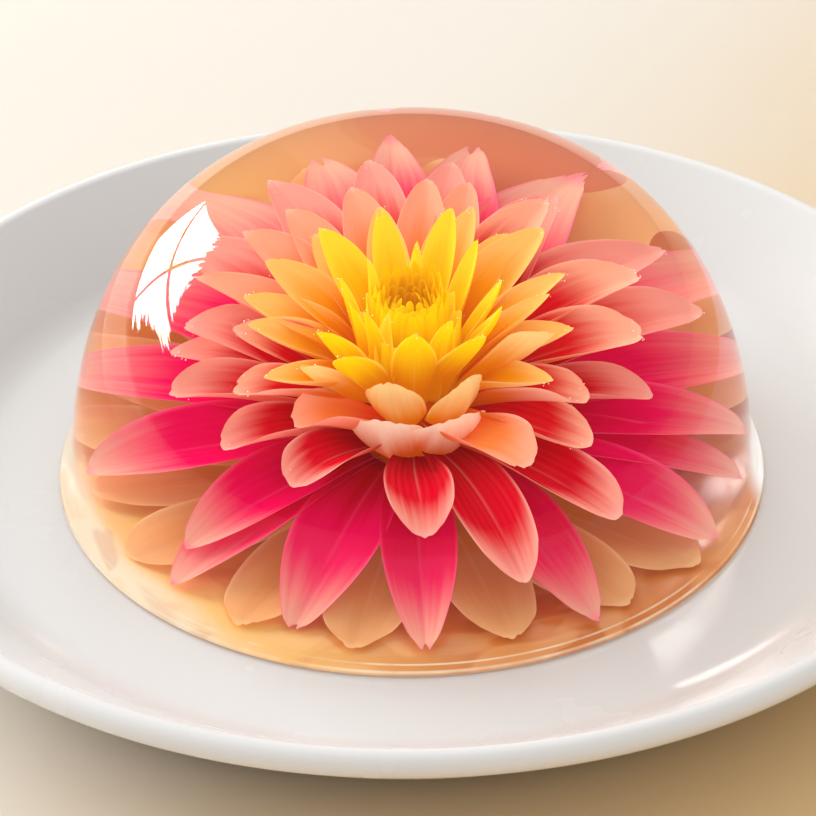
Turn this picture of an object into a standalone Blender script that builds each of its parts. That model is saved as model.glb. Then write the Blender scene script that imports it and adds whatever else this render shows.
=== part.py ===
"""Clear moulded dome jelly, turned out on a round glazed plate.

Two turned solids: the plate, which stands on its foot ring, and the jelly on
the plate's flat well. The flower inside the jelly is not modelled here.
Metres, +Z up, origin on the axis in the plane that the foot ring stands on.
"""
import math

import bpy

MM = 0.001
OBJECT_NAME = "Moulded_jelly_on_plate"
TURN_STEPS = 80
MERGE_DISTANCE = 0.00005

# Plate, in metres.
PLATE_RADIUS = 121.4 * MM
PLATE_HEIGHT = 26.9 * MM
RIM_ROUNDING = 2.65 * MM
WELL_TOP = 8.0 * MM
WELL_FILLET = 13.0 * MM
BASE_UNDERSIDE = 3.2 * MM
UNDERSIDE_FILLET = 16.0 * MM
FOOT_RADIUS = 69.0 * MM
FOOT_WIDTH = 4.6 * MM
FOOT_ROUNDING = 1.2 * MM
WALL_SLOPE = math.radians(41.0)

# Jelly, in metres.
JELLY_GAP = 0.3 * MM
DOME_RADIUS = 72.1 * MM
DOME_HEIGHT = 70.6 * MM
DOME_SIDE_POWER = 2.8
DOME_TOP_POWER = 2.07
DOME_RINGS = 18
RING_CROWDING = 1.3
LIP_RADIUS = 75.0 * MM
LIP_ROUNDING = 0.9 * MM
LIP_SLANT = math.radians(34.0)
FLARE_HEIGHT = 9.0 * MM
FLARE_RINGS = 5


def arc(centre, radius, start, end, count):
    """Points of an arc in the (radius, height) plane; angles in radians from +r towards +z."""
    points = []
    for index in range(count):
        angle = start + (end - start) * index / (count - 1)
        points.append((centre[0] + radius * math.cos(angle), centre[1] + radius * math.sin(angle)))
    return points


def plate_profile():
    """Half section of the plate, from the middle of the well over the rim and back to the axis."""
    right = math.pi / 2
    rim_centre = (PLATE_RADIUS - RIM_ROUNDING, PLATE_HEIGHT - RIM_ROUNDING)

    # The inner wall is the tangent to the rim's round at the wall's slope; the fillet joins it to the well.
    rim_start = (rim_centre[0] - RIM_ROUNDING * math.sin(WALL_SLOPE),
                 rim_centre[1] + RIM_ROUNDING * math.cos(WALL_SLOPE))
    wall_foot = rim_start[0] - (rim_start[1] - WELL_TOP) / math.tan(WALL_SLOPE)
    fillet_start = wall_foot - WELL_FILLET * math.tan(WALL_SLOPE / 2)
    fillet_centre = (fillet_start, WELL_TOP + WELL_FILLET)

    points = [(0.0, WELL_TOP), (fillet_start * 0.5, WELL_TOP)]
    points += arc(fillet_centre, WELL_FILLET, -right, -right + WALL_SLOPE, 6)
    points += arc(rim_centre, RIM_ROUNDING, right + WALL_SLOPE, -right + WALL_SLOPE, 9)

    # The underside runs parallel to the wall and rounds into the flat base.
    under_start = (rim_centre[0] + RIM_ROUNDING * math.sin(WALL_SLOPE),
                   rim_centre[1] - RIM_ROUNDING * math.cos(WALL_SLOPE))
    under_foot = under_start[0] - (under_start[1] - BASE_UNDERSIDE) / math.tan(WALL_SLOPE)
    under_fillet = under_foot - UNDERSIDE_FILLET * math.tan(WALL_SLOPE / 2)
    under_centre = (under_fillet, BASE_UNDERSIDE + UNDERSIDE_FILLET)
    points += arc(under_centre, UNDERSIDE_FILLET, -right + WALL_SLOPE, -right, 5)

    # The foot ring, with rounded edges on its flat face.
    outer = FOOT_RADIUS
    inner = FOOT_RADIUS - FOOT_WIDTH
    points.append((outer + FOOT_ROUNDING, BASE_UNDERSIDE))
    points += arc((outer - FOOT_ROUNDING, FOOT_ROUNDING), FOOT_ROUNDING, 0.0, -right, 3)
    points += arc((inner + FOOT_ROUNDING, FOOT_ROUNDING), FOOT_ROUNDING, -right, -2 * right, 3)
    points.append((inner - FOOT_ROUNDING, BASE_UNDERSIDE))
    points.append((0.0, BASE_UNDERSIDE))
    return points


def dome_radius(height):
    """Radius of the plain dome at a height above the well."""
    return DOME_RADIUS * (1.0 - (height / DOME_HEIGHT) ** DOME_TOP_POWER) ** (1.0 / DOME_SIDE_POWER)


def jelly_profile():
    """Half section of the jelly: the dome, its foot flaring out to a thin rounded lip, and the flat underside."""
    right = math.pi / 2

    # The crowding draws the rings together near the top.
    last_turn = math.acos((FLARE_HEIGHT / DOME_HEIGHT) ** (DOME_TOP_POWER / 2))
    points = [(0.0, WELL_TOP + DOME_HEIGHT)]
    for ring in range(1, DOME_RINGS + 1):
        turn = last_turn * (ring / DOME_RINGS) ** RING_CROWDING
        height = DOME_HEIGHT * math.cos(turn) ** (2.0 / DOME_TOP_POWER)
        points.append((dome_radius(height), WELL_TOP + height))

    # The flare meets the lip's round where the round leans by the lip's slant.
    lip_centre = (LIP_RADIUS - LIP_ROUNDING, WELL_TOP + JELLY_GAP + LIP_ROUNDING)
    lip_top = JELLY_GAP + LIP_ROUNDING * (1.0 + math.sin(LIP_SLANT))
    reach = lip_centre[0] + LIP_ROUNDING * math.cos(LIP_SLANT) - dome_radius(lip_top)
    for ring in range(1, FLARE_RINGS):
        share = ring / FLARE_RINGS
        height = FLARE_HEIGHT + (lip_top - FLARE_HEIGHT) * share
        points.append((dome_radius(height) + reach * share ** 2, WELL_TOP + height))
    points += arc(lip_centre, LIP_ROUNDING, LIP_SLANT, -right, 6)

    underside = WELL_TOP + JELLY_GAP
    points.append((LIP_RADIUS * 0.5, underside))
    points.append((0.0, underside))
    return points


def glazed_white():
    """White glaze on porcelain."""
    material = bpy.data.materials.new("glazed_white")
    material.use_nodes = True
    shader = material.node_tree.nodes["Principled BSDF"]
    shader.inputs["Base Color"].default_value = (0.86, 0.86, 0.85, 1.0)
    shader.inputs["Roughness"].default_value = 0.08
    shader.inputs["Metallic"].default_value = 0.0
    return material


def clear_jelly():
    """Clear, faintly amber set jelly."""
    material = bpy.data.materials.new("clear_jelly")
    material.use_nodes = True
    shader = material.node_tree.nodes["Principled BSDF"]
    shader.inputs["Base Color"].default_value = (1.0, 0.86, 0.66, 1.0)
    shader.inputs["Roughness"].default_value = 0.02
    shader.inputs["Metallic"].default_value = 0.0
    shader.inputs["Transmission Weight"].default_value = 1.0
    shader.inputs["IOR"].default_value = 1.36
    return material


def turned(name, profile, material, collection):
    """A solid turned about Z from a half section that runs down its outer side."""
    mesh = bpy.data.meshes.new(name)
    vertices = [(radius, 0.0, height) for radius, height in profile]
    edges = [(index, index + 1) for index in range(len(vertices) - 1)]
    mesh.from_pydata(vertices, edges, [])
    mesh.materials.append(material)
    solid = bpy.data.objects.new(name, mesh)
    collection.objects.link(solid)

    screw = solid.modifiers.new("turned", "SCREW")
    screw.axis = "Z"
    screw.angle = 2 * math.pi
    screw.steps = TURN_STEPS
    screw.render_steps = TURN_STEPS
    screw.use_merge_vertices = True
    screw.merge_threshold = MERGE_DISTANCE
    screw.use_smooth_shade = True
    return solid


def remove_everything():
    for item in list(bpy.data.objects):
        bpy.data.objects.remove(item, do_unlink=True)


def main():
    remove_everything()
    collection = bpy.data.collections.new(OBJECT_NAME)
    bpy.context.scene.collection.children.link(collection)
    turned("plate", plate_profile(), glazed_white(), collection)
    turned("jelly", jelly_profile(), clear_jelly(), collection)


main()
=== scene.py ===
"""Looks of a clear moulded jelly with a layered flower sunk in it, on a white glazed plate.

The jelly and the plate are turned again with fine steps, on the same sizes as
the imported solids. The flower inside the jelly is grown here: each petal that
shows is named by the place of its tip in the photograph's 816 x 816 frame and
by its height above the table, and the rest of each ring is filled in by rule.
"""
import math
import random

import bpy
from mathutils import Matrix, Vector

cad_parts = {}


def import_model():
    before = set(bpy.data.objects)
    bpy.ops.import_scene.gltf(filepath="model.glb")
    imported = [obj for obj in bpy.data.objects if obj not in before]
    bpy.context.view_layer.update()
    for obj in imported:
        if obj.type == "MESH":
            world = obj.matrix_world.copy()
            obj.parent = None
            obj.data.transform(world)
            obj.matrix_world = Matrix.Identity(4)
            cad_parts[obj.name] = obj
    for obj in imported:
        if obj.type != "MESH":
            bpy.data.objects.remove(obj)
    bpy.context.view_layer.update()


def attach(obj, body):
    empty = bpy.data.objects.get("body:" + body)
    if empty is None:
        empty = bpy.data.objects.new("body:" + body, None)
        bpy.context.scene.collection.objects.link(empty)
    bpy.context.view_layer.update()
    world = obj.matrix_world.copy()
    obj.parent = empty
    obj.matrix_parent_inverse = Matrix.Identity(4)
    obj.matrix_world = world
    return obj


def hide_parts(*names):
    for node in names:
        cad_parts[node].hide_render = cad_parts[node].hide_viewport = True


MM = 0.001
SEED = 41

# Photograph and camera.
IMAGE_SIZE = 816
FOCAL_PIXELS = 2839.0
SENSOR_WIDTH = 36.0
CAMERA_DISTANCE = 0.600
CAMERA_ELEVATION = math.radians(33.25)
CAMERA_ROLL = math.radians(-0.65)
CAMERA_AIM = Vector((-0.0007, 0.0, 0.0211))

# The search for the dome along a sight line, from and to these shares of the camera's distance.
SEARCH_START = 0.7
SEARCH_END = 1.4
SEARCH_STEP = 0.5 * MM
SEARCH_HALVINGS = 24

# Plate.
PLATE_RADIUS = 121.4 * MM
PLATE_HEIGHT = 26.9 * MM
RIM_ROUNDING = 2.65 * MM
WELL_TOP = 8.0 * MM
WELL_FILLET = 13.0 * MM
BASE_UNDERSIDE = 3.2 * MM
UNDERSIDE_FILLET = 16.0 * MM
FOOT_RADIUS = 69.0 * MM
FOOT_WIDTH = 4.6 * MM
FOOT_ROUNDING = 1.2 * MM
WALL_SLOPE = math.radians(41.0)

# Jelly.
JELLY_GAP = 0.3 * MM
DOME_RADIUS = 72.1 * MM
DOME_HEIGHT = 70.6 * MM
DOME_SIDE_POWER = 2.8
DOME_TOP_POWER = 2.07
DOME_RINGS = 72
RING_CROWDING = 1.3
LIP_RADIUS = 75.0 * MM
LIP_ROUNDING = 0.9 * MM
LIP_SLANT = math.radians(34.0)
FLARE_HEIGHT = 9.0 * MM
FLARE_RINGS = 14
JELLY_IOR = 1.36
WALL_CLEARANCE = 1.6 * MM
BASE_RADIUS = 73.8 * MM
BASE_THICKNESS = 0.5 * MM
HEART_RADIUS = 8.4 * MM
HEART_TOP = 27.5 * MM
HEART_RINGS = 14

TURN_STEPS = 256
MERGE_DISTANCE = 0.00005


# Camera and the way through the jelly


def camera_axes():
    """Right, up and back of the camera, from its elevation and roll."""
    back = Vector((0.0, -math.cos(CAMERA_ELEVATION), math.sin(CAMERA_ELEVATION)))
    level = Vector((1.0, 0.0, 0.0))
    raised = back.cross(level)
    right = level * math.cos(CAMERA_ROLL) + raised * math.sin(CAMERA_ROLL)
    up = raised * math.cos(CAMERA_ROLL) - level * math.sin(CAMERA_ROLL)
    return right, up, back


def add_camera():
    right, up, back = camera_axes()
    data = bpy.data.cameras.new("photo_view")
    data.sensor_width = SENSOR_WIDTH
    data.lens = FOCAL_PIXELS / IMAGE_SIZE * SENSOR_WIDTH
    data.clip_start = 0.01
    camera = bpy.data.objects.new("photo_view", data)
    bpy.context.scene.collection.objects.link(camera)
    turned = Matrix((right, up, back)).transposed().to_4x4()
    camera.matrix_world = Matrix.Translation(CAMERA_AIM + back * CAMERA_DISTANCE) @ turned
    bpy.context.scene.camera = camera


def dome_radius(height):
    """Radius of the plain dome at a height above the well."""
    return DOME_RADIUS * (1.0 - (height / DOME_HEIGHT) ** DOME_TOP_POWER) ** (1.0 / DOME_SIDE_POWER)


def dome_excess(point):
    """Below 0 inside the dome, above 0 outside it."""
    height = point.z - WELL_TOP
    if height < 0.0:
        return 1.0
    across = math.hypot(point.x, point.y) / DOME_RADIUS
    return across ** DOME_SIDE_POWER + (height / DOME_HEIGHT) ** DOME_TOP_POWER - 1.0


def dome_normal(point):
    radius = max(math.hypot(point.x, point.y), 1e-9)
    outward = DOME_SIDE_POWER * (radius / DOME_RADIUS) ** (DOME_SIDE_POWER - 1.0) / DOME_RADIUS
    upward = DOME_TOP_POWER * ((point.z - WELL_TOP) / DOME_HEIGHT) ** (DOME_TOP_POWER - 1.0) / DOME_HEIGHT
    return Vector((outward * point.x / radius, outward * point.y / radius, upward)).normalized()


def through_jelly(x, y, height):
    """Where the sight line of a pixel, bent at the dome, comes down to a height above the table."""
    right, up, back = camera_axes()
    half = IMAGE_SIZE / 2
    eye = CAMERA_AIM + back * CAMERA_DISTANCE
    sight = (right * (x - half) / FOCAL_PIXELS - up * (y - half) / FOCAL_PIXELS - back).normalized()

    # Step to the dome, then halve the last step.
    outside = CAMERA_DISTANCE * SEARCH_START
    step = SEARCH_STEP
    while dome_excess(eye + sight * (outside + step)) > 0.0:
        outside += step
        if outside > CAMERA_DISTANCE * SEARCH_END:
            raise ValueError(f"the pixel {x}, {y} misses the jelly")
    for _ in range(SEARCH_HALVINGS):
        step *= 0.5
        if dome_excess(eye + sight * (outside + step)) > 0.0:
            outside += step
    entry = eye + sight * outside

    normal = dome_normal(entry)
    cosine = -sight.dot(normal)
    ratio = 1.0 / JELLY_IOR
    bent = sight * ratio + normal * (ratio * cosine - math.sqrt(1.0 - ratio ** 2 * (1.0 - cosine ** 2)))
    return entry + bent * ((height - entry.z) / bent.z)


def kept_inside(point):
    """The point, drawn towards the axis where it would come too near the jelly's wall."""
    most = dome_radius(max(point.z - WELL_TOP, 0.0)) - WALL_CLEARANCE
    radius = math.hypot(point.x, point.y)
    if radius <= most:
        return point
    return Vector((point.x * most / radius, point.y * most / radius, point.z))


# Node trees


class Field:
    """A number or a vector that a node tree works out at every point, written with Python's own signs."""

    def __init__(self, socket):
        self.socket = socket

    def __add__(self, other):
        return joined("ADD", self, other)

    def __radd__(self, other):
        return joined("ADD", other, self)

    def __sub__(self, other):
        return joined("SUBTRACT", self, other)

    def __rsub__(self, other):
        return joined("SUBTRACT", other, self)

    def __mul__(self, other):
        return joined("MULTIPLY", self, other)

    def __truediv__(self, other):
        return joined("DIVIDE", self, other)

    def __neg__(self):
        return joined("MULTIPLY", self, -1.0)


def live_socket(sockets, name):
    """The socket of that name that is in use: some nodes hold a hidden one for each type."""
    if isinstance(name, int):
        return sockets[name]
    return next(socket for socket in sockets if socket.name == name and socket.enabled)


def feed(socket, value):
    """Link a field or a socket to an input, or set its plain value."""
    if isinstance(value, Field):
        value = value.socket
    if isinstance(value, bpy.types.NodeSocket):
        socket.id_data.links.new(value, socket)
    else:
        socket.default_value = value


def add_node(tree, kind, inputs=None, **settings):
    node = tree.nodes.new(kind)
    for name, value in settings.items():
        setattr(node, name, value)
    for name, value in (inputs or {}).items():
        feed(live_socket(node.inputs, name), value)
    return node


def set_inputs(node, **values):
    """Link or set a node's inputs by name; an underscore in a name stands for a space."""
    for name, value in values.items():
        feed(node.inputs[name.replace("_", " ")], value)


def is_vector(value):
    if isinstance(value, Field):
        return value.socket.type in {"VECTOR", "RGBA"}
    return not isinstance(value, (int, float))


def tree_of(*values):
    """The node tree that works out the first of the values that isn't plain."""
    sockets = (value.socket if isinstance(value, Field) else value for value in values)
    return next(socket.id_data for socket in sockets if isinstance(socket, bpy.types.NodeSocket))


def number(operation, *values):
    node = add_node(tree_of(*values), "ShaderNodeMath", dict(enumerate(values)), operation=operation)
    return Field(node.outputs[0])


def at_least(value, least):
    return number("MAXIMUM", value, least)


def vector(operation, *values):
    node = add_node(tree_of(*values), "ShaderNodeVectorMath", dict(enumerate(values)), operation=operation)
    return Field(live_socket(node.outputs, "Value" if operation == "LENGTH" else "Vector"))


def joined(operation, first, second):
    """One sign between two values, by Math for numbers and by Vector Math where one is a vector."""
    if not is_vector(first) and not is_vector(second):
        return number(operation, first, second)
    if operation == "MULTIPLY" and not (is_vector(first) and is_vector(second)):
        whole, factor = (first, second) if is_vector(first) else (second, first)
        inputs = {0: whole, "Scale": factor}
        node = add_node(tree_of(whole, factor), "ShaderNodeVectorMath", inputs, operation="SCALE")
        return Field(node.outputs["Vector"])
    return vector(operation, first, second)


def between(value, low, high, to_low=0.0, to_high=1.0):
    """A smooth step of a value from one range to another."""
    node = add_node(
        tree_of(value), "ShaderNodeMapRange",
        {"Value": value, "From Min": low, "From Max": high, "To Min": to_low, "To Max": to_high},
        interpolation_type="SMOOTHSTEP")
    return Field(node.outputs["Result"])


def blended(factor, first, second):
    """A mix of two colours."""
    node = add_node(tree_of(factor), "ShaderNodeMix", data_type="RGBA")
    feed(node.inputs["Factor"], factor)
    feed(live_socket(node.inputs, "A"), first)
    feed(live_socket(node.inputs, "B"), second)
    return Field(live_socket(node.outputs, "Result"))


def combined(**parts):
    """A vector from its X, Y and Z."""
    return Field(add_node(tree_of(*parts.values()), "ShaderNodeCombineXYZ", parts).outputs[0])


def parts_of(value):
    """The X, Y and Z of a vector."""
    outputs = add_node(tree_of(value), "ShaderNodeSeparateXYZ", {0: value}).outputs
    return [Field(outputs[axis]) for axis in "XYZ"]


def noise(place, **settings):
    """The value of a noise texture at a place."""
    return Field(add_node(tree_of(place), "ShaderNodeTexNoise", {"Vector": place, **settings}).outputs[0])


def passed(kind, geometry, inputs=None, **settings):
    """What one geometry node makes of a geometry."""
    inputs = {0: geometry, **(inputs or {})}
    return add_node(tree_of(geometry), "GeometryNode" + kind, inputs, **settings).outputs[0]


def add_socket(tree, name, kind, value=None, side="INPUT"):
    """One input or output of a node group, with its plain value."""
    socket = tree.interface.new_socket(name=name, in_out=side, socket_type="NodeSocket" + kind)
    if value is not None:
        socket.default_value = value


def colour(red, green, blue):
    """A screen colour from 0 to 255 as the linear colour that a shader takes."""
    def linear(part):
        part /= 255.0
        return part / 12.92 if part <= 0.04045 else ((part + 0.055) / 1.055) ** 2.4
    return (linear(red), linear(green), linear(blue), 1.0)


# The petal, in Geometry Nodes


PETAL_INPUTS = {
    "Thickness": ("Float", 0.55 * MM),
    "Crease": ("Float", 0.05),
    "Ripple": ("Float", 0.03),
    "Ragged": ("Float", 0.02),
    "Curl": ("Float", 0.5),
    "Sections Across": ("Int", 20),
    "Sections Along": ("Int", 22),
    "Material": ("Material", None),
}
HANDLE_REACH = 0.36
SEAM = 0.0002 * MM


def petal_tree():
    """A tree that turns each point of a mesh, a petal's tip, into a closed thin petal.

    Each point carries its root, tone and the rest of PETAL_SHAPE as attributes. The
    petal keeps where each of its own points lies: along, from root to tip; across,
    from edge to edge; face, above 0 on the upper side; and tone, one random number
    for each petal.
    """
    tree = bpy.data.node_groups.new("petals", "GeometryNodeTree")
    add_socket(tree, "Tips", "Geometry")
    for name, (kind, value) in PETAL_INPUTS.items():
        add_socket(tree, name, kind, value)
    add_socket(tree, "Petals", "Geometry", side="OUTPUT")
    inputs = add_node(tree, "NodeGroupInput").outputs
    given = {name: Field(inputs[name]) for name in PETAL_INPUTS}

    def read(name, data_type="FLOAT"):
        node = add_node(tree, "GeometryNodeInputNamedAttribute", {"Name": name}, data_type=data_type)
        return Field(live_socket(node.outputs, "Attribute"))

    def keep(geometry, name, value, data_type="FLOAT"):
        return passed("StoreNamedAttribute", geometry, {"Name": name, "Value": value},
                      data_type=data_type, domain="POINT")

    # A flat sheet, which is rolled into a closed tube: up one face, round the edge and back on the other.
    # Its columns crowd towards the edges and its rows towards the tip, where the petal is rounded off.
    columns = given["Sections Across"] * 2.0 + 1.0
    rows = given["Sections Along"] + 1.0
    size = {"Size X": 1.0, "Size Y": 1.0, "Vertices X": columns, "Vertices Y": rows}
    sheet = add_node(tree, "GeometryNodeMeshGrid", size).outputs["Mesh"]
    roll, upwards, _ = parts_of(add_node(tree, "GeometryNodeInputPosition").outputs[0])
    across = number("SINE", (1.0 - number("ABSOLUTE", roll) * 4.0) * (math.pi / 2))
    sign = number("SIGN", -roll)
    bulge = number("SQRT", at_least(1.0 - across * across, 0.0))
    sheet = keep(sheet, "across", across)
    sheet = keep(sheet, "face", sign * bulge)
    sheet = keep(sheet, "along", number("SINE", (upwards + 0.5) * (math.pi / 2)))

    # The tips remember where they are before a sheet is put on each.
    position = add_node(tree, "GeometryNodeInputPosition").outputs[0]
    tips = keep(inputs["Tips"], "tip", position, "FLOAT_VECTOR")
    sheets = passed("InstanceOnPoints", tips, {"Instance": sheet})
    sheets = passed("RealizeInstances", sheets)

    across = read("across")
    face = read("face")
    row = read("along")
    root = read("root", "FLOAT_VECTOR")
    tip = read("tip", "FLOAT_VECTOR")
    tone = read("tone")

    # The end of each column: a round tip with ragged nicks, and a notch in the middle of some.
    edge = across * across
    rounding = read("roundness") * (1.0 - number("SQRT", at_least(1.0 - edge, 0.0)))
    teeth = noise(combined(X=across * 3.2, Y=tone * 57.0), Scale=1.6, Detail=3.0, Roughness=0.7)
    nick = at_least(teeth - 0.47, 0.0) * given["Ragged"] * 5.0
    notch = read("notch") * number("EXPONENT", edge * -11.0)
    share = row * (1.0 - rounding - nick - notch)

    # The midrib: a curve that leaves the root by its rise and comes to the tip by its droop.
    chord = tip - root
    length = vector("LENGTH", chord)
    level = vector("NORMALIZE", chord * Vector((1.0, 1.0, 0.0)))
    level_x, level_y, _ = parts_of(level)
    sideways = combined(X=-level_y, Y=level_x)

    def heading(angle):
        return level * number("COSINE", angle) + combined(Z=number("SINE", angle))

    reach = length * HANDLE_REACH
    first_handle = root + (heading(read("rise")) + sideways * read("sway")) * reach
    last_handle = tip - heading(read("droop")) * reach
    rest = 1.0 - share
    point = (root * (rest * rest * rest) + first_handle * (rest * rest * share * 3.0)
             + last_handle * (rest * share * share * 3.0) + tip * (share * share * share))
    slope = ((first_handle - root) * (rest * rest) + (last_handle - first_handle) * (rest * share * 2.0)
             + (tip - last_handle) * (share * share))
    tangent = vector("NORMALIZE", slope)
    upright = vector("NORMALIZE", vector("CROSS_PRODUCT", tangent, sideways))
    level_side = vector("CROSS_PRODUCT", upright, tangent)
    twist = read("twist") * share
    cosine = number("COSINE", twist)
    sine = number("SINE", twist)
    side = level_side * cosine + upright * sine
    upward = upright * cosine - level_side * sine

    # The width: a narrow claw, widest past the middle, drawn in again at the tip.
    waist = read("waist")
    widest = read("widest")
    widening = number("MINIMUM", share / widest, 1.0)
    widening = number("SINE", widening * (math.pi / 2))
    narrowing = at_least(share - widest, 0.0) / (1.0 - widest)
    width = read("half") * (waist + (1.0 - waist) * widening)
    width = width * (1.0 - read("taper") * narrowing * narrowing)

    # The cross-section: rolled up like a spoon, most at the claw, with a crease along the midrib.
    cup = read("cup")
    width = width * cup / number("SINE", cup)
    roll = cup * (1.0 + given["Curl"] * rest * rest)
    sideward = width * number("SINE", across * roll) / roll
    lift = width * (1.0 - number("COSINE", across * roll)) / roll
    crease = width * given["Crease"] * number("EXPONENT", edge * -40.0)
    ripple = width * given["Ripple"] * edge * number("SINE", share * 8.0 + tone * 40.0 + across * 2.0)
    closing = number("SQRT", at_least(row * (1.0 - row) * 4.0, 0.0))
    skin = given["Thickness"] * 0.5 * face * closing * (1.25 - share * 0.85)
    placed = point + side * sideward + upward * (lift - crease + ripple + skin)

    petals = passed("SetPosition", sheets, {"Position": placed})
    petals = keep(petals, "along", share)
    petals = passed("MergeByDistance", petals, {"Distance": SEAM})
    petals = passed("FlipFaces", petals)
    petals = passed("SetShadeSmooth", petals, {"Shade Smooth": True})
    petals = passed("SetMaterial", petals, {"Material": given["Material"]})
    add_node(tree, "NodeGroupOutput", {"Petals": petals})
    return tree


def plain_mesh(piece):
    """Turn what the piece's modifiers make into its own mesh."""
    graph = bpy.context.evaluated_depsgraph_get()
    mesh = bpy.data.meshes.new_from_object(
        piece.evaluated_get(graph), preserve_all_data_layers=True, depsgraph=graph)
    piece.modifiers.clear()
    piece.data = mesh
    mesh.name = piece.name
    return piece


def add_piece(name, vertices, edges=(), faces=()):
    mesh = bpy.data.meshes.new(name)
    mesh.from_pydata(vertices, edges, faces)
    piece = bpy.data.objects.new(name, mesh)
    bpy.context.scene.collection.objects.link(piece)
    return piece


def add_nodes_modifier(piece, tree, **given):
    """Run a node tree on a piece, with its inputs set by their identifiers."""
    modifier = piece.modifiers.new(tree.name, "NODES")
    modifier.node_group = tree
    names = {item.name: item.identifier for item in tree.interface.items_tree if item.in_out == "INPUT"}
    for name, value in given.items():
        modifier[names[name.replace("_", " ")]] = value


# The flower's plan. Lengths are in millimetres and angles in degrees; half is half a petal's width.


PETAL_SHAPE = {
    "half": 5.0,
    "cup": 40.0,
    "rise": 20.0,
    "droop": 0.0,
    "sway": 0.0,
    "twist": 0.0,
    "notch": 0.0,
    "waist": 0.42,
    "widest": 0.6,
    "taper": 0.4,
    "roundness": 0.2,
    "lean": 0.0,
    "pale": 1.0,
}
POINTED = dict(widest=0.46, taper=0.84, roundness=0.1)
SPOON = dict(widest=0.64, taper=0.3, roundness=0.24)
CUP = dict(widest=0.6, taper=0.5, roundness=0.34, rise=-22, droop=100, cup=44)
LOW_CUP = dict(widest=0.64, taper=0.36, roundness=0.24, rise=-32, droop=100, cup=44)
ANGLES = {"cup", "rise", "droop", "twist", "lean"}


class Ring:
    """One ring of petals: their roots, the shape they share, and the tips that show in the photograph."""

    def __init__(self, name, root_radius, root_height, shape, tips, hidden=(), **looks):
        self.name = name
        self.root_radius = root_radius
        self.root_height = root_height
        self.shape = {**PETAL_SHAPE, **shape}
        self.tips = tips
        self.hidden = hidden
        self.looks = looks


def seen(x, y, height, **shape):
    """A petal whose tip shows at a pixel; its height above the table is in millimetres."""
    return through_jelly(x, y, height * MM), shape


def unseen(azimuth, radius, height, **shape):
    """A petal placed by its azimuth, from the camera's side to the right, and its distance from the axis."""
    turn = math.radians(azimuth)
    place = Vector((radius * math.sin(turn), -radius * math.cos(turn), height)) * MM
    return place, shape


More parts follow.
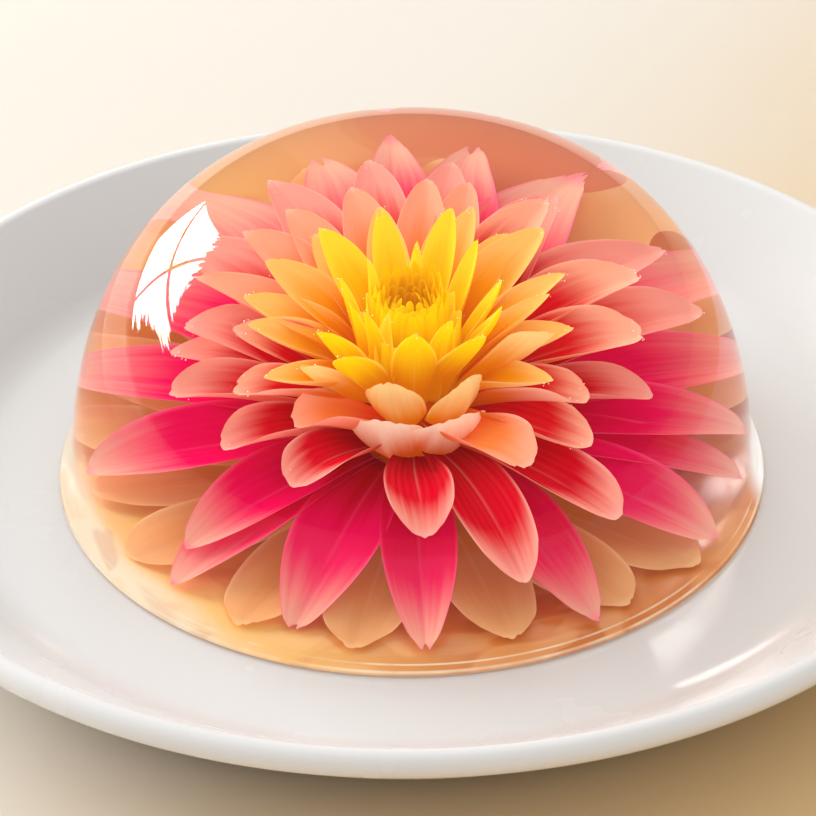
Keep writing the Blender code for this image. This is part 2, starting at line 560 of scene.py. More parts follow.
FLOWER = [
    Ring("amber_petals", 9.0, 10.4, dict(half=8.4, cup=14, rise=-2, droop=-2, taper=0.5), {
        "left": seen(92, 492, 10.5, half=6.5),
        "left_front": seen(128, 560, 9.6),
        "front_left": seen(238, 628, 9.6),
        "front_left_middle": seen(352, 652, 9.6),
        "front_right_middle": seen(512, 642, 9.6),
        "front_right": seen(628, 608, 9.6),
        "right_front": seen(698, 567, 9.6),
    }, [unseen(turn, 61, 11) for turn in (110, 130, 150, 173, -164, -141, -118, -97)],
        Crease=0.04),
    Ring("magenta_petals", 9.0, 14.5, dict(half=7.2, cup=30, rise=10, droop=-10, pale=0.3, **POINTED), {
        "front": seen(426, 656, 9.8, half=6.8, notch=0.05),
        "front_left": seen(291, 634, 9.8, half=7.8, lean=-4, notch=0.05),
        "left_front_lower": seen(171, 587, 9.9),
        "left_front_upper": seen(185, 549, 13.5, half=7.4, cup=38),
        "left": seen(86, 472, 13.0, half=8.2),
        "back_left": seen(315, 155, 12.0, notch=0.06),
        "back": seen(390, 134, 13.0),
        "back_right": seen(477, 142, 12.0, notch=0.06),
        "right_back_upper": seen(596, 168, 12.0),
        "right": seen(742, 479, 12.0, half=6.4),
        "right_front": seen(717, 541, 11.0, half=8.0),
        "front_right": seen(598, 624, 9.9),
    }, [
        unseen(-108, 61, 13.5), unseen(-131, 62, 12.0), unseen(-150, 62, 11.0),
        unseen(133, 62, 12.5), unseen(110, 61, 13.5), unseen(88, 60, 15.0, half=7.8),
    ]),
    Ring("red_petals", 8.0, 17.5, dict(half=5.6, cup=38, rise=20, droop=-4, taper=0.5), {
        "front": seen(425, 538, 24.5, half=6.1, rise=10, droop=-14, cup=30, waist=0.3, **SPOON),
        "front_right": seen(526, 583, 20.0, half=6.4, droop=-12, cup=30),
        "front_left": seen(293, 487, 25.0, half=6.0, droop=-8, cup=46, **SPOON),
        "right_front": seen(618, 519, 22.0, half=6.4, cup=44, **SPOON),
        "left_front": seen(223, 449, 25.0, half=5.0, cup=60, **SPOON),
        "left": seen(169, 393, 25.5, half=4.4, cup=72, **SPOON),
        "left_back": seen(184, 325, 26.0, half=4.8),
        "left_back_lower": seen(170, 352, 22.0, half=4.8),
        "right": seen(653, 397, 24.0, half=4.6, cup=60, **SPOON),
        "right_back": seen(703, 312, 27.0),
        "back_right_lower": seen(666, 250, 26.0, half=6.0, **POINTED),
        "back_right": seen(557, 196, 27.0, **POINTED),
    }, [
        unseen(170, 50, 23, **POINTED), unseen(-171, 51, 23, **POINTED),
        unseen(-152, 50, 24, **POINTED), unseen(-133, 49, 24, **POINTED),
    ], Ragged=0.015),
    Ring("coral_petals", 7.6, 20.5, dict(half=4.4, cup=58, rise=32, droop=8, taper=0.5), {
        "right_front": seen(591, 445, 26.0, half=4.8, cup=66, **SPOON),
        "right": seen(588, 402, 29.0, cup=76, **SPOON),
        "right_back": seen(644, 334, 31.0, half=5.0, **SPOON),
        "back_right": seen(642, 275, 32.0, half=5.2),
        "left": seen(234, 393, 30.0, half=3.8, cup=76, **SPOON),
        "left_back_lower": seen(232, 329, 31.0, half=3.6, twist=-50, **POINTED),
        "back_right_upper": seen(548, 199, 31.0, half=4.8, **POINTED),
    }, Ragged=0.03),
    Ring("cup_petals", 8.0, 17.6, LOW_CUP, {
        "left": seen(382, 420, 28.0, half=6.2, lean=14, twist=12),
        "right": seen(458, 416, 28.0, half=6.9, lean=-14, twist=-12),
    }, Ragged=0.03),
    Ring("peach_petals", 7.6, 20.5, dict(half=4.4, cup=52, rise=32, droop=8, **POINTED), {
        "front_left": seen(294, 426, 27.0, half=5.0, cup=66, lean=26, rise=4, droop=0, **SPOON),
        "front_right": seen(528, 467, 27.0, half=5.6, cup=50, lean=-10, rise=8, droop=-8, **SPOON),
        "left": seen(194, 277, 30.0, half=4.2),
        "back_left_lower": seen(243, 231, 32.0),
        "back_left": seen(350, 187, 32.0, half=4.8),
        "back": seen(428, 178, 32.5, half=5.0),
        "back_middle": seen(470, 182, 31.0),
        "back_left_outer": seen(286, 209, 33.0, half=4.2),
    }, Ragged=0.03),
    Ring("orange_petals", 7.4, 22.5, dict(half=3.8, cup=56, rise=50, droop=30, **POINTED), {
        "front_left": seen(390, 382, 33.5, half=5.1, lean=14, twist=16, **CUP),
        "front_right": seen(469, 376, 33.5, half=5.5, lean=-14, twist=-16, **CUP),
        "left_front": seen(301, 367, 34.0, half=4.0, rise=30, droop=50, cup=60, twist=44),
        "right_front": seen(549, 331, 37.5, half=4.6, rise=50, droop=60, cup=56, twist=-44, **SPOON),
        "right": seen(550, 294, 37.0, half=2.4, rise=60, droop=44, cup=60),
        "right_back": seen(566, 273, 36.0, half=3.0),
        "back_right": seen(544, 228, 36.0, half=4.2),
        "left_back": seen(265, 260, 35.0, half=4.0),
        "left": seen(243, 296, 33.0),
        "back_middle_right": seen(473, 206, 38.0, half=3.2, rise=60, droop=40),
    }, [unseen(turn, 27, 33) for turn in (-168, 163, 141, -142, 62, -66, 92, -96)],
        Ragged=0.03, Crease=0.07),
    Ring("yellow_petals", 7.2, 24.0, dict(half=2.4, cup=60, rise=84, droop=74, waist=0.66, **POINTED), {
        "front": seen(415, 333, 41.0, half=3.9, cup=44, rise=70, droop=88, widest=0.52, taper=0.94),
        "front_right": seen(481, 335, 40.5, half=3.8, cup=44, twist=-24, widest=0.52),
        "front_middle_right": seen(450, 320, 41.5, half=3.0, cup=48),
        "back_left_outer": seen(319, 228, 39.0, half=3.8, rise=60, droop=40),
        "left_front_high": seen(342, 357, 37.0, half=4.2, rise=60, droop=70, cup=50, twist=40),
        "left_high": seen(317, 331, 39.0, half=3.8, rise=60, droop=56, cup=50, twist=34),
        "front_left": seen(364, 311, 42.0, half=2.7),
        "front_left_inner": seen(389, 312, 41.0, half=2.0),
        "left_low": seen(349, 302, 42.0, half=1.9, notch=0.05),
        "left": seen(339, 277, 43.0, half=1.7),
        "back_left": seen(379, 208, 43.0, half=3.4, notch=0.09),
        "back_right": seen(451, 207, 41.5, half=3.2),
        "right_back": seen(478, 239, 42.0, half=2.2),
        "back": seen(417, 241, 43.0, half=1.7),
        "right": seen(502, 279, 42.0, half=1.8),
        "right_low": seen(502, 306, 41.5, half=1.9),
        "left_back": seen(367, 258, 43.0, half=1.8),
    }, [unseen(turn, 8.6, 36, half=3.0) for turn in (
        -150, -120, -90, -60, -35, -12, 12, 35, 60, 90, 120, 150, 180)],
        Ragged=0.03, Crease=0.09, Thickness=0.8 * MM),
]

# Florets of the middle, by the turn that a growing flower makes from each to the next.
FLORETS = 58
FLORET_TURN = math.radians(137.508)
FLORET_FIELD = 6.6
FLORET_BASE = 26.0
FLORET_EDGE_HEIGHT = 40.8
FLORET_MIDDLE_HEIGHT = 38.4
FLORET_LEAN = 0.86
BUD_FIELD = 0.56


def petal_points(ring, draw):
    """The tips of a ring's petals, with what each petal needs to know."""
    rows = []
    for place, own in [*ring.tips.values(), *ring.hidden]:
        shape = {**ring.shape, **own}
        shape = {key: math.radians(value) if key in ANGLES else value for key, value in shape.items()}
        tip = kept_inside(place)
        turn = math.atan2(tip.x, -tip.y) + shape.pop("lean")
        root = Vector((
            ring.root_radius * math.sin(turn), -ring.root_radius * math.cos(turn), ring.root_height)) * MM
        shape["half"] *= MM * draw.uniform(0.97, 1.03)
        shape["cup"] *= draw.uniform(0.93, 1.07)
        shape["twist"] += math.radians(draw.uniform(-9.0, 9.0))
        shape["sway"] += draw.uniform(-0.08, 0.08)
        shape["tone"] = draw.random()
        shape["pale"] *= PALE_BEHIND * 0.5 * (1.0 + tip.y / math.hypot(tip.x, tip.y))
        shape["root"] = root
        rows.append((tip, shape))
    return rows


def floret_points(draw):
    """The small upright florets that fill the middle, lowest in the centre."""
    rows = []
    for index in range(FLORETS):
        share = math.sqrt((index + 0.6) / FLORETS)
        turn = index * FLORET_TURN
        radius = FLORET_FIELD * share
        open_share = max(share - BUD_FIELD, 0.0) / (1.0 - BUD_FIELD)
        rise = FLORET_MIDDLE_HEIGHT + (FLORET_EDGE_HEIGHT - FLORET_MIDDLE_HEIGHT) * math.sqrt(open_share)
        rise += draw.uniform(-0.5, 0.5)
        out = Vector((math.sin(turn), -math.cos(turn), 0.0))
        tip = (out * radius + Vector((0.0, 0.0, rise))) * MM
        root = (out * radius * FLORET_LEAN + Vector((0.0, 0.0, FLORET_BASE))) * MM
        rows.append((tip, {
            "root": root,
            "half": (0.8 + 0.9 * open_share) * MM * draw.uniform(0.85, 1.15),
            "cup": math.radians(64.0),
            "rise": math.radians(88.0),
            "droop": math.radians(150.0 - 60.0 * share),
            "sway": draw.uniform(-0.06, 0.06),
            "twist": math.radians(draw.uniform(-20.0, 20.0)),
            "notch": 0.0,
            "waist": 0.8,
            "widest": 0.9 - 0.3 * open_share,
            "taper": 0.2 + 0.6 * open_share,
            "roundness": 0.06 + 0.08 * open_share,
            "tone": draw.random(),
            "pale": 0.5 * open_share - 0.3,
        }))
    return rows


def add_petals(name, rows, tree, material, **looks):
    """One piece that holds a ring of petals."""
    piece = add_piece(name, [tip for tip, _ in rows])
    attributes = piece.data.attributes
    for key in rows[0][1]:
        layer = attributes.new(key, "FLOAT_VECTOR" if key == "root" else "FLOAT", "POINT")
        for index, (_, shape) in enumerate(rows):
            if key == "root":
                layer.data[index].vector = shape[key]
            else:
                layer.data[index].value = shape[key]
    piece.data.materials.append(material)
    add_nodes_modifier(piece, tree, Material=material, **looks)
    plain_mesh(piece)
    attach(piece, "root")
    return piece


# Turned pieces


def arc(centre, radius, start, end, count):
    """Points of an arc in the (radius, height) plane; angles in radians from +r towards +z."""
    points = []
    for index in range(count):
        angle = start + (end - start) * index / (count - 1)
        points.append((centre[0] + radius * math.cos(angle), centre[1] + radius * math.sin(angle)))
    return points


def plate_profile():
    """Half section of the plate, from the middle of the well over the rim and back to the axis."""
    right = math.pi / 2
    rim_centre = (PLATE_RADIUS - RIM_ROUNDING, PLATE_HEIGHT - RIM_ROUNDING)
    rim_start = (rim_centre[0] - RIM_ROUNDING * math.sin(WALL_SLOPE),
                 rim_centre[1] + RIM_ROUNDING * math.cos(WALL_SLOPE))
    wall_foot = rim_start[0] - (rim_start[1] - WELL_TOP) / math.tan(WALL_SLOPE)
    fillet_start = wall_foot - WELL_FILLET * math.tan(WALL_SLOPE / 2)
    fillet_centre = (fillet_start, WELL_TOP + WELL_FILLET)

    points = [(fillet_start * step / 6, WELL_TOP) for step in range(6)]
    points += arc(fillet_centre, WELL_FILLET, -right, -right + WALL_SLOPE, 24)
    points += arc(rim_centre, RIM_ROUNDING, right + WALL_SLOPE, -right + WALL_SLOPE, 30)
    under_start = (rim_centre[0] + RIM_ROUNDING * math.sin(WALL_SLOPE),
                   rim_centre[1] - RIM_ROUNDING * math.cos(WALL_SLOPE))
    under_foot = under_start[0] - (under_start[1] - BASE_UNDERSIDE) / math.tan(WALL_SLOPE)
    under_fillet = under_foot - UNDERSIDE_FILLET * math.tan(WALL_SLOPE / 2)
    under_centre = (under_fillet, BASE_UNDERSIDE + UNDERSIDE_FILLET)
    points += arc(under_centre, UNDERSIDE_FILLET, -right + WALL_SLOPE, -right, 16)
    outer = FOOT_RADIUS
    inner = FOOT_RADIUS - FOOT_WIDTH
    points.append((outer + FOOT_ROUNDING, BASE_UNDERSIDE))
    points += arc((outer - FOOT_ROUNDING, FOOT_ROUNDING), FOOT_ROUNDING, 0.0, -right, 6)
    points += arc((inner + FOOT_ROUNDING, FOOT_ROUNDING), FOOT_ROUNDING, -right, -2 * right, 6)
    points.append((inner - FOOT_ROUNDING, BASE_UNDERSIDE))
    points.append((0.0, BASE_UNDERSIDE))
    return points


def jelly_profile():
    """Half section of the jelly: the dome, its foot flaring out to a thin lip, and the flat underside."""
    right = math.pi / 2
    last_turn = math.acos((FLARE_HEIGHT / DOME_HEIGHT) ** (DOME_TOP_POWER / 2))
    points = [(0.0, WELL_TOP + DOME_HEIGHT)]
    for ring in range(1, DOME_RINGS + 1):
        turn = last_turn * (ring / DOME_RINGS) ** RING_CROWDING
        height = DOME_HEIGHT * math.cos(turn) ** (2.0 / DOME_TOP_POWER)
        points.append((dome_radius(height), WELL_TOP + height))
    lip_centre = (LIP_RADIUS - LIP_ROUNDING, WELL_TOP + JELLY_GAP + LIP_ROUNDING)
    lip_top = JELLY_GAP + LIP_ROUNDING * (1.0 + math.sin(LIP_SLANT))
    reach = lip_centre[0] + LIP_ROUNDING * math.cos(LIP_SLANT) - dome_radius(lip_top)
    for ring in range(1, FLARE_RINGS):
        share = ring / FLARE_RINGS
        height = FLARE_HEIGHT + (lip_top - FLARE_HEIGHT) * share
        points.append((dome_radius(height) + reach * share ** 2, WELL_TOP + height))
    points += arc(lip_centre, LIP_ROUNDING, LIP_SLANT, -right, 12)
    underside = WELL_TOP - JELLY_GAP
    points.append((lip_centre[0], underside))
    points.append((LIP_RADIUS * 0.5, underside))
    points.append((0.0, underside))
    return points


def base_profile():
    """Half section of the thin amber layer that the flower lies on."""
    right = math.pi / 2
    half = BASE_THICKNESS / 2
    points = [(0.0, WELL_TOP + BASE_THICKNESS), (BASE_RADIUS / 2, WELL_TOP + BASE_THICKNESS)]
    points += arc((BASE_RADIUS - half, WELL_TOP + half), half, right, -right, 9)
    points += [(BASE_RADIUS / 2, WELL_TOP), (0.0, WELL_TOP)]
    return points


def heart_profile():
    """Half section of the flower's hidden heart, which the petals grow from."""
    points = [(0.0, HEART_TOP)]
    for index in range(1, HEART_RINGS + 1):
        share = index / HEART_RINGS
        height = HEART_TOP - (HEART_TOP - WELL_TOP - BASE_THICKNESS) * share
        points.append((HEART_RADIUS * math.sin(math.pi * (0.16 + 0.62 * share)) ** 0.8, height))
    points.append((0.0, WELL_TOP + BASE_THICKNESS))
    return points


def add_turned(name, profile, material):
    """A closed piece turned about Z from a half section that runs down its outer side."""
    piece = add_piece(name, [(radius, 0.0, height) for radius, height in profile],
                      [(index, index + 1) for index in range(len(profile) - 1)])
    piece.data.materials.append(material)
    screw = piece.modifiers.new("turned", "SCREW")
    screw.axis = "Z"
    screw.angle = 2 * math.pi
    screw.steps = TURN_STEPS
    screw.render_steps = TURN_STEPS
    screw.use_merge_vertices = True
    screw.merge_threshold = MERGE_DISTANCE
    screw.use_smooth_shade = True
    return plain_mesh(piece)


# Materials


def new_material(name, **values):
    """A Principled material with its plain values set."""
    material = bpy.data.materials.new(name)
    material.use_nodes = True
    tree = material.node_tree
    shader = tree.nodes["Principled BSDF"]
    set_inputs(shader, **values)
    return material, tree, shader


def object_place(tree):
    """Where a point lies in the object, which is also where it lies in the scene."""
    return Field(add_node(tree, "ShaderNodeTexCoord").outputs["Object"])


def add_relief(shader, height, distance, strength):
    """Fine relief on a shader, with its depth in millimetres."""
    inputs = {"Height": height, "Distance": distance * MM, "Strength": strength}
    normal = add_node(shader.id_data, "ShaderNodeBump", inputs).outputs["Normal"]
    set_inputs(shader, Normal=normal)
    return normal


def shader_group(name, inputs, outputs):
    """An empty shader node group with named inputs and outputs."""
    tree = bpy.data.node_groups.new(name, "ShaderNodeTree")
    for key, value in inputs.items():
        add_socket(tree, key, "Float" if isinstance(value, float) else "Color", value)
    for key, kind in outputs.items():
        add_socket(tree, key, kind, side="OUTPUT")
    given = add_node(tree, "NodeGroupInput").outputs
    return tree, {key: Field(given[key]) for key in inputs}


WHITE = (1.0, 1.0, 1.0, 1.0)
JELLY_ENTRY = (0.36, 0.24, 0.17, 1.0)
JELLY_GATHERING = (1.14, 1.12, 1.1, 1.0)
AMBER_MIDDLE = colour(192, 104, 18)
AMBER_GOLD = colour(238, 184, 104)
AMBER_EDGE = colour(232, 216, 188)
AMBER_PEACH = colour(244, 188, 124)
AMBER_DEEP = colour(196, 96, 44)
AMBER_ROSE = colour(218, 118, 96)
AMBER_GLARE = colour(250, 250, 248)
LIP_HIGHLIGHT_LINES = (71.0 * MM, 73.3 * MM)
HEART_ORANGE = colour(236, 140, 10)
HEART_DEEP = colour(220, 96, 0)
GLAZE_GREY = colour(238, 238, 238)
GLAZE_CREAM = colour(243, 242, 240)
FLOOR_SHADED_TAN = colour(228, 194, 142)
FLOOR_LIT_PALE = colour(232, 225, 214)
PETAL_TINT_INPUTS = {
    "Root": WHITE,
    "Body": WHITE,
    "Tip": WHITE,
    "Rim": WHITE,
    "Under Root": WHITE,
    "Under Tip": WHITE,
    "Tip Start": 0.55,
    "Root End": 0.3,
    "Under Start": 0.2,
    "Rim Width": 0.12,
    "Rim Strength": 0.6,
    "Side Reach": 0.3,
    "Vein": 0.06,
    "Uneven": 0.22,
}


def petal_tint():
    """Petal colour from root to tip, with a pale rim, fine veins and a paler underside."""
    tree, given = shader_group("petal_tint", PETAL_TINT_INPUTS, {"Color": "Color", "Height": "Float"})

    def read(name):
        return Field(add_node(tree, "ShaderNodeAttribute", attribute_name=name).outputs["Fac"])

    along = read("along")
    across = read("across")
    edge = number("ABSOLUTE", across)

    # Streaks run along the petal, so the noise is stretched along it.
    place = combined(X=across * 5.0, Y=along * 1.3, Z=read("tone") * 31.0)
    streak = noise(place, Scale=1.0, Detail=3.0, Roughness=0.55) - 0.5
    shifted = along + streak * given["Uneven"]

    upper = blended(between(shifted, 0.05, given["Root End"]), given["Root"], given["Body"])
    reached = shifted + read("pale") + edge * edge * given["Side Reach"]
    tip_share = between(reached, given["Tip Start"], 1.04)
    upper = blended(tip_share, upper, given["Tip"])
    under_share = between(shifted, given["Under Start"], 0.95)
    lower = blended(under_share, given["Under Root"], given["Under Tip"])
    tint = blended(between(read("face"), 0.12, -0.12), upper, lower)
    rim = number("MAXIMUM", between(edge, 1.0 - given["Rim Width"], 1.0),
                 between(along, 0.93, 1.0)) * between(along, 0.25, 0.6)
    tint = blended(rim * given["Rim Strength"], tint, given["Rim"])

    # Veins fan out from the claw, and a pale line marks the midrib.
    comb = number("SINE", across * 34.0 + streak * 5.0) * 0.5 + 0.5
    midrib = number("EXPONENT", across * across * -700.0) * between(along, 1.0, 0.35)
    vein = (comb * 0.35 + streak * 1.2) * given["Vein"] + midrib * 0.2
    tint = blended(number("MINIMUM", at_least(vein, 0.0), 1.0), tint, given["Rim"])
    add_node(tree, "NodeGroupOutput", {"Color": tint, "Height": comb * 0.5 + streak - midrib})
    return tree


# Screen colours from 0 to 255, and the shares of a petal's length where they change.
PETAL_COLOURS = {
    "amber_petals": dict(
        Root=(218, 126, 52), Body=(232, 168, 96), Tip=(242, 198, 140), Rim=(250, 224, 180),
        Under_Root=(218, 136, 70), Under_Tip=(238, 192, 140)),
    "magenta_petals": dict(
        Root=(200, 0, 8), Body=(241, 0, 102), Tip=(242, 196, 164), Rim=(254, 116, 162),
        Under_Root=(246, 60, 140), Under_Tip=(253, 150, 216), Tip_Start=0.58, Root_End=0.46,
        Side_Reach=0.06),
    "red_petals": dict(
        Root=(176, 0, 0), Body=(224, 0, 42), Tip=(248, 176, 160), Rim=(255, 206, 190),
        Under_Root=(244, 110, 50), Under_Tip=(255, 200, 184), Tip_Start=0.7, Root_End=0.62,
        Side_Reach=0.2),
    "coral_petals": dict(
        Root=(200, 0, 0), Body=(228, 18, 38), Tip=(250, 190, 160), Rim=(255, 214, 188),
        Under_Root=(240, 136, 20), Under_Tip=(255, 224, 206), Under_Start=0.4, Tip_Start=0.72,
        Root_End=0.62, Side_Reach=0.18),
    "cup_petals": dict(
        Root=(220, 96, 16), Body=(240, 158, 90), Tip=(248, 216, 190), Rim=(252, 228, 206),
        Under_Root=(230, 116, 6), Under_Tip=(248, 234, 214), Under_Start=0.46),
    "peach_petals": dict(
        Root=(246, 80, 16), Body=(252, 150, 70), Tip=(254, 184, 150), Rim=(255, 210, 186),
        Under_Root=(246, 140, 40), Under_Tip=(255, 200, 180), Root_End=0.54, Tip_Start=0.6),
    "orange_petals": dict(
        Root=(222, 98, 0), Body=(246, 174, 10), Tip=(248, 206, 122), Rim=(252, 222, 150),
        Under_Root=(232, 158, 0), Under_Tip=(250, 234, 170), Under_Start=0.4, Tip_Start=0.62,
        Root_End=0.58),
    "yellow_petals": dict(
        Root=(216, 126, 0), Body=(243, 200, 0), Tip=(245, 222, 60), Rim=(250, 232, 110),
        Under_Root=(222, 152, 0), Under_Tip=(246, 226, 10), Under_Start=0.3, Tip_Start=0.6,
        Root_End=0.5),
    "middle_florets": dict(
        Root=(204, 114, 0), Body=(226, 160, 0), Tip=(246, 208, 10), Rim=(248, 216, 40),
        Under_Root=(224, 148, 0), Under_Tip=(246, 224, 10), Tip_Start=0.5),
}
PETAL_GLOW = 0.4
PALE_BEHIND = 0.2

# Painted glow: light the petals give off themselves, standing in for what jelly and petals scatter, as a
# share of the petal's own colour.
PETAL_PAINTED_GLOW = {
    "amber_petals": 0.24,
    "magenta_petals": 0.14,
    "red_petals": 0.12,
    "coral_petals": 0.2,
    "cup_petals": 0.34,
    "peach_petals": 0.22,
    "orange_petals": 0.28,
    "yellow_petals": 0.38,
    "middle_florets": 0.3,
}
AMBER_SOLIDITY = 0.6


def petal_material(name, tint_group):
    """A thin petal that lets some light through, tinted from claw to tip, with a painted glow given off as
    emission.
    """
    material, tree, shader = new_material(name, Roughness=0.5, Specular_IOR_Level=0.0)
    tint = add_node(tree, "ShaderNodeGroup", node_tree=tint_group)
    for key, value in PETAL_COLOURS[name].items():
        set_inputs(tint, **{key: colour(*value) if isinstance(value, tuple) else value})
    shown = tint.outputs["Color"]
    # The emission is painted glow, light that the petals give off though they are no lamp.
    set_inputs(shader, Base_Color=shown, Emission_Color=shown, Emission_Strength=PETAL_PAINTED_GLOW[name])
    if name == "amber_petals":
        set_inputs(shader, Alpha=AMBER_SOLIDITY)
    relief = add_relief(shader, tint.outputs["Height"], 0.04, 0.2)
    glow = add_node(tree, "ShaderNodeBsdfTranslucent", {"Color": shown, "Normal": relief})
    mix = add_node(tree, "ShaderNodeMixShader", {0: PETAL_GLOW, 1: shader.outputs[0], 2: glow.outputs[0]})
    set_inputs(tree.nodes["Material Output"], Surface=mix.outputs[0])
    return material


def heart_material():
    material, tree, shader = new_material("flower_heart", Roughness=0.5)
    cloud = noise(object_place(tree), Scale=220.0, Detail=3.0)
    set_inputs(shader, Base_Color=blended(cloud, HEART_ORANGE, HEART_DEEP))
    return material


def see_through_for_lamps(tree, glass):
    """Let lamps' rays and soft bounced light pass straight, warmed on their way in and gathered inside."""
    inside = add_node(tree, "ShaderNodeNewGeometry").outputs["Backfacing"]
    tint = blended(inside, JELLY_ENTRY, JELLY_GATHERING)
    clear = add_node(tree, "ShaderNodeBsdfTransparent", {"Color": tint})
    path = add_node(tree, "ShaderNodeLightPath")
    surface = glass
    for ray in ("Is Shadow Ray", "Is Diffuse Ray"):
        mix = add_node(tree, "ShaderNodeMixShader", {0: path.outputs[ray], 1: surface, 2: clear.outputs[0]})
        surface = mix.outputs[0]
    set_inputs(tree.nodes["Material Output"], Surface=surface)


def jelly_material():
    """Clear set jelly: like glass, with the slight waves of a wet unmoulded face."""
    material, tree, shader = new_material(
        "clear_set_jelly", Base_Color=WHITE, Roughness=0.0, IOR=JELLY_IOR, Transmission_Weight=1.0)
    add_relief(shader, noise(object_place(tree), Scale=34.0, Detail=2.0), 0.12, 0.35)
    see_through_for_lamps(tree, shader.outputs[0])
    return material


def amber_material():
    """The amber layer under the flower: orange in the middle, turning gold outward and cream at its edge,
    both reaching further on the left as painted light, with a painted glare and painted highlight lines.
    """
    material, tree, shader = new_material("amber_layer", Roughness=0.35)
    place = object_place(tree)
    sideways, forward, _ = parts_of(place)
    cloud = noise(place, Scale=55.0, Detail=3.0, Distortion=0.6)
    uneven = cloud - 0.5
    from_axis = vector("LENGTH", place * Vector((1.0, 1.0, 0.0)))
    radius = from_axis + uneven * 0.016
    # Painted light: the gold and the cream edge reach further on the left, where the light falls, and the
    # right stays darker orange as painted shade.
    gold_and_painted_left_light = between(radius * 0.55 - sideways, 20 * MM, 78 * MM)
    tint = blended(gold_and_painted_left_light, AMBER_MIDDLE, AMBER_GOLD)
    tint = blended(between(radius * 0.7 - sideways * 0.4, 58 * MM, 74 * MM), tint, AMBER_EDGE)

    # Pale and deep patches, a rosy tint behind on the right, and a painted glare where the dome's right wall
    # gathers light.
    patch = noise(place, Scale=42.0, Detail=1.0, Distortion=1.4)
    tint = blended(between(patch, 0.52, 0.62, 0.0, 0.28), tint, AMBER_PEACH)
    tint = blended(between(patch, 0.44, 0.36, 0.0, 0.28), tint, AMBER_DEEP)
    rosy = between(forward + sideways * 0.7, 15 * MM, 75 * MM, 0.0, 0.5)
    tint = blended(rosy, tint, AMBER_ROSE)
    glare = sideways - number("ABSOLUTE", forward - 12 * MM) * 0.7
    tint = blended(between(glare, 46 * MM, 58 * MM), tint, AMBER_GLARE)

    # Painted highlights: thin pale lines where the lip gathers light.
    for line in LIP_HIGHLIGHT_LINES:
        bright = between(number("ABSOLUTE", from_axis - line), 0.5 * MM, 0.1 * MM, 0.0, 0.75)
        tint = blended(bright * between(uneven, -0.15, 0.1), tint, AMBER_EDGE)
    set_inputs(shader, Base_Color=tint)
    add_relief(shader, cloud, 0.3, 0.3)
    return material


def bubble_material():
    """Air shut in the jelly, white with a faint painted glow for its glint."""
    # The white emission is a painted glint.
    looks = dict(Base_Color=WHITE, Roughness=0.1, Emission_Color=WHITE, Emission_Strength=0.15)
    return new_material("air_in_jelly", **looks)[0]


def porcelain_material():
    """White porcelain under a clear glaze, with a glaze's faint waves and uneven shine."""
    material, tree, shader = new_material("white_glaze", IOR=1.5, Specular_IOR_Level=0.35)
    place = object_place(tree)
    tint = blended(noise(place, Scale=18.0, Detail=3.0), GLAZE_GREY, GLAZE_CREAM)
    rough = between(noise(place, Scale=60.0, Detail=2.0), 0.3, 0.7, 0.2, 0.28)
    set_inputs(shader, Base_Color=tint, Roughness=rough)
    add_relief(shader, noise(place, Scale=26.0, Detail=1.0), 0.2, 0.02)
    return material


def floor_material():
    """A warm floor whose tan is partly its own colour and partly painted shade: pale behind and on the left
    where the light falls, and a warm tan in front on the right where the plate's shadow falls.
    """
    material, tree, shader = new_material("pale_floor", Roughness=0.7)
    place = object_place(tree)
    to_right, away, _ = parts_of(place)
    to_left = -to_right
    # Painted light and shade: paler where the light falls behind and on the left, tan in front on the right
    # where the plate's shadow falls.
    far = away + to_left * 1.6 + at_least(to_left, 0.0) * 0.8
    share = between(far + noise(place, Scale=7.0, Detail=4.0) * 0.1, -0.2, 0.25)
    set_inputs(shader, Base_Color=blended(share, FLOOR_SHADED_TAN, FLOOR_LIT_PALE))
    return material


# Bubbles


BUBBLES = 240
BUBBLE_SMALLEST = 0.04 * MM
BUBBLE_LARGEST = 0.12 * MM
BUBBLE_RINGS = ("coral_petals", "orange_petals", "red_petals", "yellow_petals")


def bubble_tree():
    """A tree that puts a small sphere of a random size on every point."""
    tree = bpy.data.node_groups.new("bubbles", "GeometryNodeTree")
    add_socket(tree, "Places", "Geometry")
    add_socket(tree, "Smallest", "Float", BUBBLE_SMALLEST)
    add_socket(tree, "Largest", "Float", BUBBLE_LARGEST)
    add_socket(tree, "Material", "Material")
    add_socket(tree, "Bubbles", "Geometry", side="OUTPUT")
    given = add_node(tree, "NodeGroupInput").outputs
    ball = add_node(tree, "GeometryNodeMeshIcoSphere", {"Radius": 1.0, "Subdivisions": 2}).outputs[0]
    size = add_node(tree, "FunctionNodeRandomValue",
                    {"Min": given["Smallest"], "Max": given["Largest"], "Seed": SEED}, data_type="FLOAT")
    scale = live_socket(size.outputs, "Value")
    balls = passed("InstanceOnPoints", given["Places"], {"Instance": ball, "Scale": scale})
    balls = passed("RealizeInstances", balls)
    balls = passed("SetShadeSmooth", balls, {"Shade Smooth": True})
    balls = passed("SetMaterial", balls, {"Material": given["Material"]})
    add_node(tree, "NodeGroupOutput", {"Bubbles": balls})
    return tree


def add_bubbles(petals, draw):
    """Air caught along the ragged tips of the petals."""
    places = []
    for piece in petals:
        if piece.name not in BUBBLE_RINGS:
            continue
        mesh = piece.data
        along = mesh.attributes["along"].data
        tips = [v for v in mesh.vertices if along[v.index].value > 0.9]
        for vertex in draw.sample(tips, min(len(tips), BUBBLES // len(BUBBLE_RINGS))):
            places.append(vertex.co + vertex.normal * draw.uniform(0.15, 0.5) * MM)
    piece = add_piece("jelly_bubbles", places)
    material = bubble_material()
    piece.data.materials.append(material)
    add_nodes_modifier(piece, bubble_tree(), Material=material)
    plain_mesh(piece)
    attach(piece, "root")


# Floor and light


FLOOR_REACH = 3.0
SOFTBOX_AIM = Vector((0.0, 0.0, 0.03))

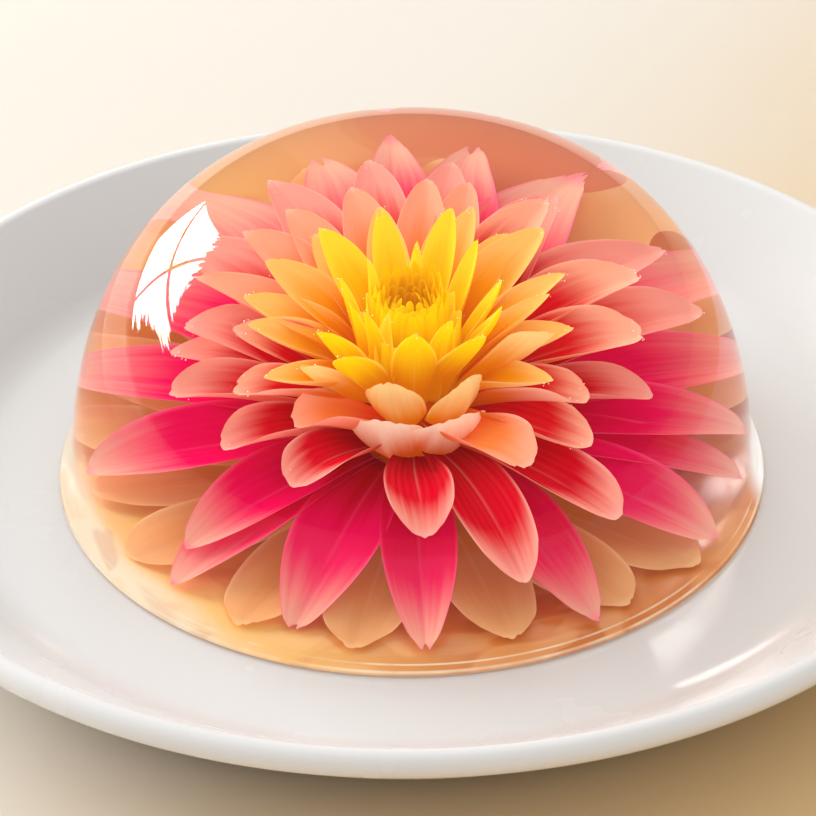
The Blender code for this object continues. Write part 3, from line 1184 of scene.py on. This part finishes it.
# Angles in degrees: the azimuth runs from away from the viewer towards the right.
SOFTBOXES = {
    "key": dict(azimuth=-60, elevation=26, distance=1.3, size=(1.0, 0.7), power=12, tint=(1.0, 0.99, 0.97)),
    "behind": dict(azimuth=-4, elevation=24, distance=1.6, size=(0.8, 0.6), power=5, tint=(1.0, 0.98, 0.95)),
    "overhead": dict(
        azimuth=120, elevation=80, distance=1.5, size=(1.4, 1.4), power=3, tint=(1.0, 0.99, 0.98)),
}
AMBIENT = 0.68
MIRRORED_AMBIENT = 0.24
STUDIO_WHITE = (1.0, 0.985, 0.97, 1.0)
WINDOW_BRIGHTNESS = 24.0

# The window, in degrees to the left of straight away from the viewer and above the horizon.
WINDOW_NEAR = 26.6
WINDOW_FAR = 56.0
WINDOW_FOOT = 0.8
WINDOW_TOP = 29.5
TRANSOM_HEIGHT = 12.4
MULLION_PLACE = 47.5
BAR_WIDTH = 0.7

BOUNCES = {
    "max_bounces": 10,
    "diffuse_bounces": 3,
    "glossy_bounces": 4,
    "transmission_bounces": 8,
    "transparent_max_bounces": 12,
}


def add_floor():
    corners = [(x * FLOOR_REACH, y * FLOOR_REACH, 0) for x, y in ((-1, -1), (1, -1), (1, 1), (-1, 1))]
    floor = add_piece("floor", corners, faces=[(0, 1, 2, 3)])
    floor.data.materials.append(floor_material())


def add_softbox(name, azimuth, elevation, distance, size, power, tint):
    """A soft light for matt surfaces alone: what glaze and jelly mirror is the studio's own window."""
    turn = math.radians(azimuth)
    lift = math.radians(elevation)
    toward = Vector((math.sin(turn) * math.cos(lift), math.cos(turn) * math.cos(lift), math.sin(lift)))
    data = bpy.data.lights.new(name, "AREA")
    data.shape = "RECTANGLE"
    data.size, data.size_y = size
    data.energy = power
    data.color = tint
    light = bpy.data.objects.new(name, data)
    bpy.context.scene.collection.objects.link(light)
    light.location = SOFTBOX_AIM + toward * distance
    light.rotation_euler = (-toward).to_track_quat("-Z", "Y").to_euler()
    light.visible_glossy = False


def window_mask(tree):
    """Where the studio's window stands in the surroundings: two columns of panes with frayed ends."""
    x, y, z = parts_of(add_node(tree, "ShaderNodeTexCoord").outputs["Generated"])
    degree = 180.0 / math.pi
    left = number("ARCTAN2", x, y) * -degree
    high = number("ARCSINE", z) * degree

    def above(value, edge):
        return between(value - edge, -0.4, 0.4)

    # Streaks fray the far end and the top edge.
    frayed = dict(Scale=1.0, Detail=4.0, Roughness=0.7)
    streak = noise(combined(X=high * 0.55, Y=left * 0.03), **frayed) - 0.5
    fray = noise(combined(X=left * 0.5, Y=high * 0.05, Z=7.0), **frayed) - 0.5

    near = WINDOW_NEAR + number("ABSOLUTE", high - 11.0) * 0.62
    middle = (high - 15.5) / 5.0
    far = WINDOW_FAR + number("EXPONENT", -(middle * middle)) * 17.0 + streak * 34.0
    top = WINDOW_TOP - at_least(left - 39.0, 0.0) * 0.2 + fray * 16.0
    window = above(left, near) * above(far, left) * above(high, WINDOW_FOOT) * above(top, high)
    bars = (high - TRANSOM_HEIGHT - (left - 29.0) * 0.15, left - MULLION_PLACE)
    for bar in bars:
        window = window * between(number("ABSOLUTE", bar), BAR_WIDTH * 0.5, BAR_WIDTH * 1.5)
    return window


def add_surroundings():
    """An even pale studio, which glaze and jelly mirror darker and with a window in it."""
    world = bpy.data.worlds.new("studio")
    world.use_nodes = True
    tree = world.node_tree
    mirrored = Field(add_node(tree, "ShaderNodeLightPath").outputs["Is Glossy Ray"])
    shining = window_mask(tree) * WINDOW_BRIGHTNESS + (MIRRORED_AMBIENT - AMBIENT)
    set_inputs(tree.nodes["Background"], Color=STUDIO_WHITE, Strength=shining * mirrored + AMBIENT)
    world.cycles.sampling_method = "NONE"
    bpy.context.scene.world = world


def add_light():
    """Soft studio light from behind on the left, from behind and from above."""
    for name, looks in SOFTBOXES.items():
        add_softbox(name, **looks)
    add_surroundings()
    scene = bpy.context.scene
    scene.view_settings.view_transform = "Standard"
    for name, count in BOUNCES.items():
        setattr(scene.cycles, name, count)


def main():
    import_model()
    draw = random.Random(SEED)
    add_camera()
    add_floor()
    add_light()

    plate = add_turned("plate_glazed", plate_profile(), porcelain_material())
    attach(plate, "root")
    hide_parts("plate")
    jelly = add_turned("jelly_dome", jelly_profile(), jelly_material())
    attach(jelly, "root")
    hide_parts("jelly")

    tree = petal_tree()
    tint_group = petal_tint()
    petals = []
    for ring in FLOWER:
        material = petal_material(ring.name, tint_group)
        petals.append(add_petals(ring.name, petal_points(ring, draw), tree, material, **ring.looks))
    florets = petal_material("middle_florets", tint_group)
    petals.append(add_petals("middle_florets", floret_points(draw), tree, florets,
                             Sections_Across=8, Sections_Along=10, Thickness=0.6 * MM, Crease=0.05))
    for name, profile, material in (
            ("amber_base", base_profile(), amber_material()),
            ("flower_heart", heart_profile(), heart_material())):
        piece = add_turned(name, profile, material)
        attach(piece, "root")
    add_bubbles(petals, draw)


main()
